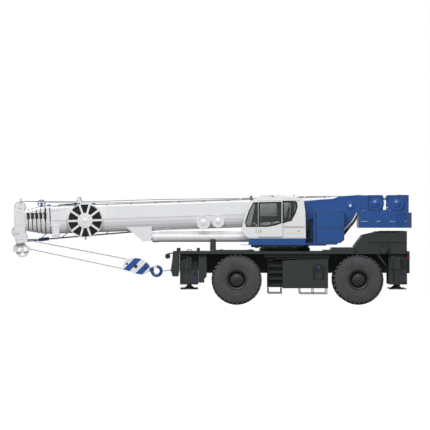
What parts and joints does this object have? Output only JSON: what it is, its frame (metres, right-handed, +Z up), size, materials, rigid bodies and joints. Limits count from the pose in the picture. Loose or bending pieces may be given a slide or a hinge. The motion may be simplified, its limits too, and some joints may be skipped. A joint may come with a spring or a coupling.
{
  "type": "rough terrain crane",
  "caption": "Two-axle rough terrain crane: carrier with outriggers, slewing superstructure with side cab and counterweight, telescopic boom, lift cylinder and stowed hook block.",
  "frame": {"origin": "on the ground, under the middle of the travelling machine's whole length and width", "axes": "+Z up, -X towards the boom's head and the carrier's front bumper, +Y towards the machine's right side"},
  "size_m": [14.9482, 3.315, 4.11],
  "materials": {
    "white_paint": "gloss white paint",
    "blue_paint": "gloss blue paint",
    "carrier_paint": "satin dark green-grey paint",
    "dark_paint": "satin dark grey paint",
    "black_paint": "satin black paint",
    "tyre_rubber": "matte black rubber",
    "cable_rubber": "matte black cable sheath",
    "cast_parts": "painted castings",
    "steel": "bare steel",
    "rod_chrome": "hard chrome",
    "cab_glazing": "tinted glass",
    "cab_trim": "black trim and seat cloth"
  },
  "bodies": {
    "carrier": {"chassis_frame": "carrier_paint", "deck": "carrier_paint", "outrigger_boxes": "carrier_paint", "engine_hood": "carrier_paint", "engine": "cast_parts", "side_tanks": "carrier_paint", "side_steps": "black_paint", "front_axle": "carrier_paint", "rear_axle": "carrier_paint", "carrier_lamps": "black_paint"},
    "knuckle_fl": {"knuckle_fl": "dark_paint"},
    "wheel_fl": {"tyre_fl": "tyre_rubber", "rim_fl": "dark_paint"},
    "beam_fl": {"beam_fl": "carrier_paint"},
    "jack_fl": {"jack_fl": "black_paint"},
    "knuckle_fr": {"knuckle_fr": "dark_paint"},
    "wheel_fr": {"tyre_fr": "tyre_rubber", "rim_fr": "dark_paint"},
    "beam_fr": {"beam_fr": "carrier_paint"},
    "jack_fr": {"jack_fr": "black_paint"},
    "knuckle_rl": {"knuckle_rl": "dark_paint"},
    "wheel_rl": {"tyre_rl": "tyre_rubber", "rim_rl": "dark_paint"},
    "beam_rl": {"beam_rl": "carrier_paint"},
    "jack_rl": {"jack_rl": "black_paint"},
    "knuckle_rr": {"knuckle_rr": "dark_paint"},
    "wheel_rr": {"tyre_rr": "tyre_rubber", "rim_rr": "dark_paint"},
    "beam_rr": {"beam_rr": "carrier_paint"},
    "jack_rr": {"jack_rr": "black_paint"},
    "superstructure": {"turntable": "blue_paint", "counterweight": "blue_paint", "winches": "blue_paint", "upper_hood": "blue_paint", "cab_shell": "white_paint", "cab_glass": "cab_glazing", "cab_interior": "cab_trim"},
    "main_drum": {"main_drum": "steel"},
    "aux_drum": {"aux_drum": "steel"},
    "cab_door": {"cab_door": "white_paint", "door_glass": "cab_glazing"},
    "boom_base": {"boom_base": "white_paint", "fly_jib": "blue_paint"},
    "lift_barrel": {"lift_barrel": "white_paint"},
    "lift_rod": {"lift_rod": "rod_chrome"},
    "section_2": {"boom_section_2": "white_paint"},
    "section_3": {"boom_section_3": "white_paint"},
    "section_4": {"boom_section_4": "white_paint"},
    "section_5": {"boom_section_5": "white_paint"},
    "section_6": {"boom_section_6": "white_paint", "hoist_falls": "steel", "hook_block": "white_paint"},
    "nose_sheave": {"nose_sheave": "steel"},
    "main_sheaves": {"main_sheaves": "steel"},
    "aux_sheave": {"aux_sheave": "steel"},
    "hook": {"hook": "blue_paint"},
    "cable_reel": {"cable_reel": "white_paint", "reel_cable": "cable_rubber"}
  },
  "joints": [
    {"name": "steer_fl", "type": "hinge", "parent": "carrier", "child": "knuckle_fl", "pos_m": [0.945, -1, 0.9375], "axis": [0, 0, 1], "range_deg": [-22, 22]},
    {"name": "roll_fl", "type": "hinge", "parent": "knuckle_fl", "child": "wheel_fl", "pos_m": [0.945, -1.2825, 0.9375], "axis": [0, 1, 0], "continuous": true},
    {"name": "outrigger_fl", "type": "slide", "parent": "carrier", "child": "beam_fl", "axis": [0, -1, 0], "range_m": [0, 2]},
    {"name": "jack_fl", "type": "slide", "parent": "beam_fl", "child": "jack_fl", "axis": [0, 0, -1], "range_m": [0, 0.62]},
    {"name": "steer_fr", "type": "hinge", "parent": "carrier", "child": "knuckle_fr", "pos_m": [0.945, 1, 0.9375], "axis": [0, 0, 1], "range_deg": [-22, 22]},
    {"name": "roll_fr", "type": "hinge", "parent": "knuckle_fr", "child": "wheel_fr", "pos_m": [0.945, 1.2825, 0.9375], "axis": [0, 1, 0], "continuous": true},
    {"name": "outrigger_fr", "type": "slide", "parent": "carrier", "child": "beam_fr", "axis": [0, 1, 0], "range_m": [0, 2]},
    {"name": "jack_fr", "type": "slide", "parent": "beam_fr", "child": "jack_fr", "axis": [0, 0, -1], "range_m": [0, 0.62]},
    {"name": "steer_rl", "type": "hinge", "parent": "carrier", "child": "knuckle_rl", "pos_m": [5.475, -1, 0.9375], "axis": [0, 0, 1], "range_deg": [-22, 22]},
    {"name": "roll_rl", "type": "hinge", "parent": "knuckle_rl", "child": "wheel_rl", "pos_m": [5.475, -1.2825, 0.9375], "axis": [0, 1, 0], "continuous": true},
    {"name": "outrigger_rl", "type": "slide", "parent": "carrier", "child": "beam_rl", "axis": [0, -1, 0], "range_m": [0, 2]},
    {"name": "jack_rl", "type": "slide", "parent": "beam_rl", "child": "jack_rl", "axis": [0, 0, -1], "range_m": [0, 0.62]},
    {"name": "steer_rr", "type": "hinge", "parent": "carrier", "child": "knuckle_rr", "pos_m": [5.475, 1, 0.9375], "axis": [0, 0, 1], "range_deg": [-22, 22]},
    {"name": "roll_rr", "type": "hinge", "parent": "knuckle_rr", "child": "wheel_rr", "pos_m": [5.475, 1.2825, 0.9375], "axis": [0, 1, 0], "continuous": true},
    {"name": "outrigger_rr", "type": "slide", "parent": "carrier", "child": "beam_rr", "axis": [0, 1, 0], "range_m": [0, 2]},
    {"name": "jack_rr", "type": "slide", "parent": "beam_rr", "child": "jack_rr", "axis": [0, 0, -1], "range_m": [0, 0.62]},
    {"name": "slew", "type": "hinge", "parent": "carrier", "child": "superstructure", "pos_m": [2.75, 0, 2.1], "axis": [0, 0, 1], "continuous": true},
    {"name": "main_drum_spin", "type": "hinge", "parent": "superstructure", "child": "main_drum", "pos_m": [6.15, 0, 3.78], "axis": [0, 1, 0], "continuous": true},
    {"name": "aux_drum_spin", "type": "hinge", "parent": "superstructure", "child": "aux_drum", "pos_m": [6.95, 0, 3.78], "axis": [0, 1, 0], "continuous": true},
    {"name": "cab_door_slide", "type": "slide", "parent": "superstructure", "child": "cab_door", "axis": [1, 0, 0], "range_m": [0, 0.78]},
    {"name": "luff", "type": "hinge", "parent": "superstructure", "child": "boom_base", "pos_m": [5.2, 0, 3.7], "axis": [0, 1, 0], "range_deg": [0, 81]},
    {"name": "lift_barrel_pin", "type": "hinge", "parent": "superstructure", "child": "lift_barrel", "pos_m": [2.3, 0, 2.52], "axis": [0, 1, 0], "range_deg": [0, 93.7]},
    {"name": "lift_stroke", "type": "slide", "parent": "lift_barrel", "child": "lift_rod", "axis": [-1, 0, 0], "range_m": [0, 3.82]},
    {"name": "extend_2", "type": "slide", "parent": "boom_base", "child": "section_2", "axis": [-0.9995, 0, -0.0332], "range_m": [0, 8.2]},
    {"name": "extend_3", "type": "slide", "parent": "boom_base", "child": "section_3", "axis": [-0.9995, 0, -0.0332], "range_m": [0, 16.4]},
    {"name": "extend_4", "type": "slide", "parent": "boom_base", "child": "section_4", "axis": [-0.9995, 0, -0.0332], "range_m": [0, 24.6]},
    {"name": "extend_5", "type": "slide", "parent": "boom_base", "child": "section_5", "axis": [-0.9995, 0, -0.0332], "range_m": [0, 32.8]},
    {"name": "extend_6", "type": "slide", "parent": "boom_base", "child": "section_6", "axis": [-0.9995, 0, -0.0332], "range_m": [0, 41]},
    {"name": "nose_sheave_spin", "type": "hinge", "parent": "section_6", "child": "nose_sheave", "pos_m": [-7.16987, 0, 3.64184], "axis": [0, 1, 0], "continuous": true},
    {"name": "main_sheaves_spin", "type": "hinge", "parent": "section_6", "child": "main_sheaves", "pos_m": [-7.25924, 0, 2.71637], "axis": [0, 1, 0], "continuous": true},
    {"name": "aux_sheave_spin", "type": "hinge", "parent": "section_6", "child": "aux_sheave", "pos_m": [-7.08555, 0, 2.00474], "axis": [0, 1, 0], "continuous": true},
    {"name": "hook_swivel", "type": "hinge", "parent": "section_6", "child": "hook", "pos_m": [-2.04401, -0.51136, 1.257], "axis": [0.9742, -0.0955, -0.2045], "continuous": true},
    {"name": "reel_spin", "type": "hinge", "parent": "boom_base", "child": "cable_reel", "pos_m": [-4.72191, 0, 3.14073], "axis": [0, 1, 0], "continuous": true}
  ],
  "couplings": [
    {"joint": "steer_fr", "follows": "steer_fl", "ratio": 1},
    {"joint": "steer_rr", "follows": "steer_rl", "ratio": 1},
    {"joint": "lift_barrel_pin", "follows": "luff", "ratio": 1.1555},
    {"joint": "lift_stroke", "follows": "luff", "m_per_rad": 2.7008},
    {"joint": "extend_3", "follows": "extend_2", "ratio": 2},
    {"joint": "extend_4", "follows": "extend_2", "ratio": 3},
    {"joint": "extend_5", "follows": "extend_2", "ratio": 4},
    {"joint": "extend_6", "follows": "extend_2", "ratio": 5}
  ]
}
